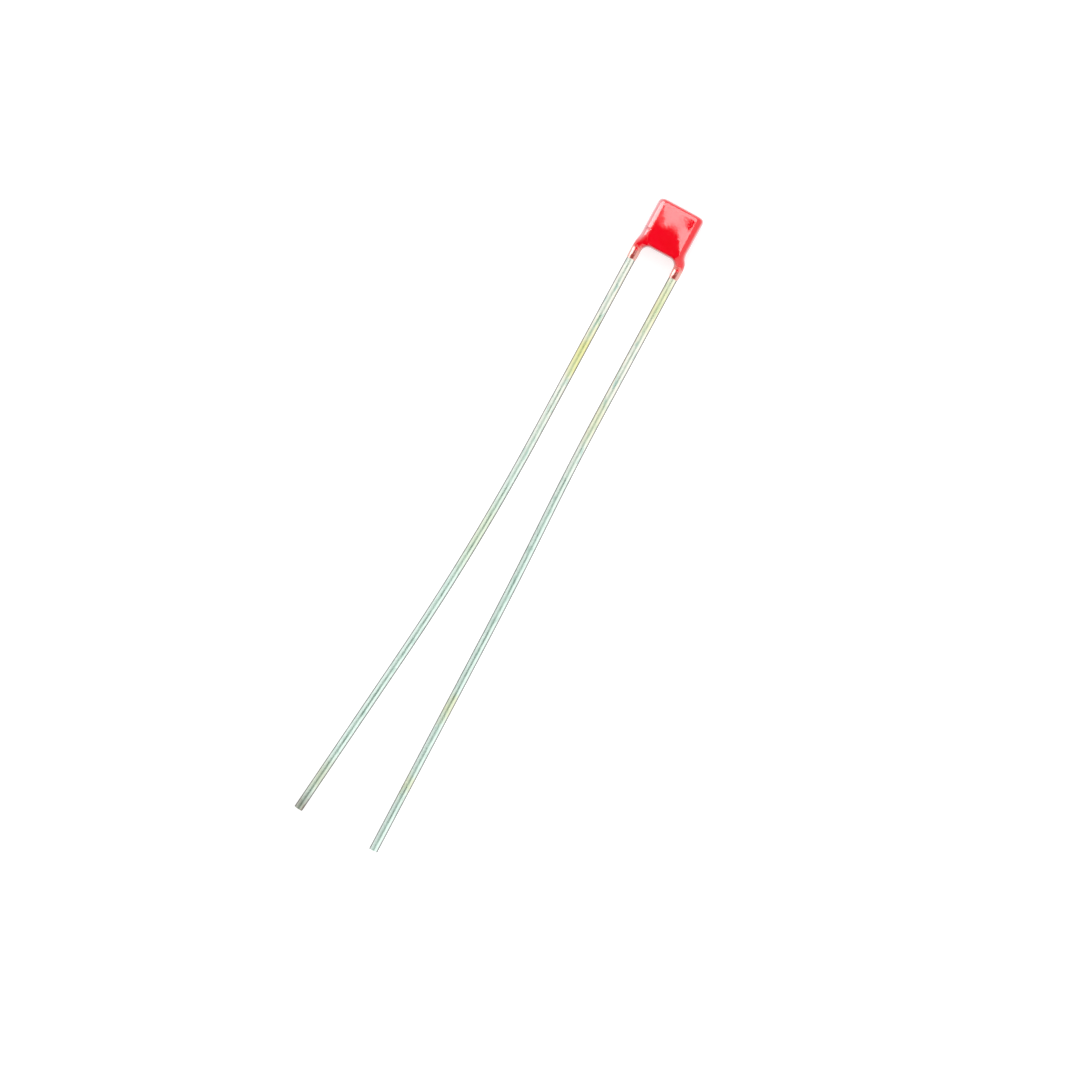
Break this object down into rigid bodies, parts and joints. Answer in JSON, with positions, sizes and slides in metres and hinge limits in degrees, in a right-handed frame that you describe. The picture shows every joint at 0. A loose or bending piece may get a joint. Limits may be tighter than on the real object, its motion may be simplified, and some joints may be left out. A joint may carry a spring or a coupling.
{
  "type": "dipped film capacitor",
  "caption": "Small square film capacitor dipped in glossy red resin, with long tinned wires that spread gently towards their cut tips.",
  "frame": {"origin": "middle of the coat's flat underside, halfway between its sides and between its top and lower edges", "axes": "+Z is the way the upper face looks as the part lies on its face; +Y runs from the wires towards the top of the body; the wires leave along -Y; +X completes the frame"},
  "size_m": [0.0052, 0.039, 0.0017],
  "materials": {
    "epoxy_coat": "glossy dipped resin, thin and browner where it runs down the wires",
    "metallised_film": "stacked plastic film with vapour-deposited metal",
    "cover_film": "plain clear film",
    "sprayed_metal": "grainy sprayed zinc",
    "tinned_wire": "bright hot-tinned steel wire with faint yellow and brown patches"
  },
  "bodies": {
    "root": {"epoxy_coat": "epoxy_coat", "film_stack": "metallised_film", "cover_film_upper": "cover_film", "cover_film_lower": "cover_film", "end_spray_left": "sprayed_metal", "end_spray_right": "sprayed_metal", "lead_left": "tinned_wire", "lead_right": "tinned_wire"}
  },
  "joints": []
}
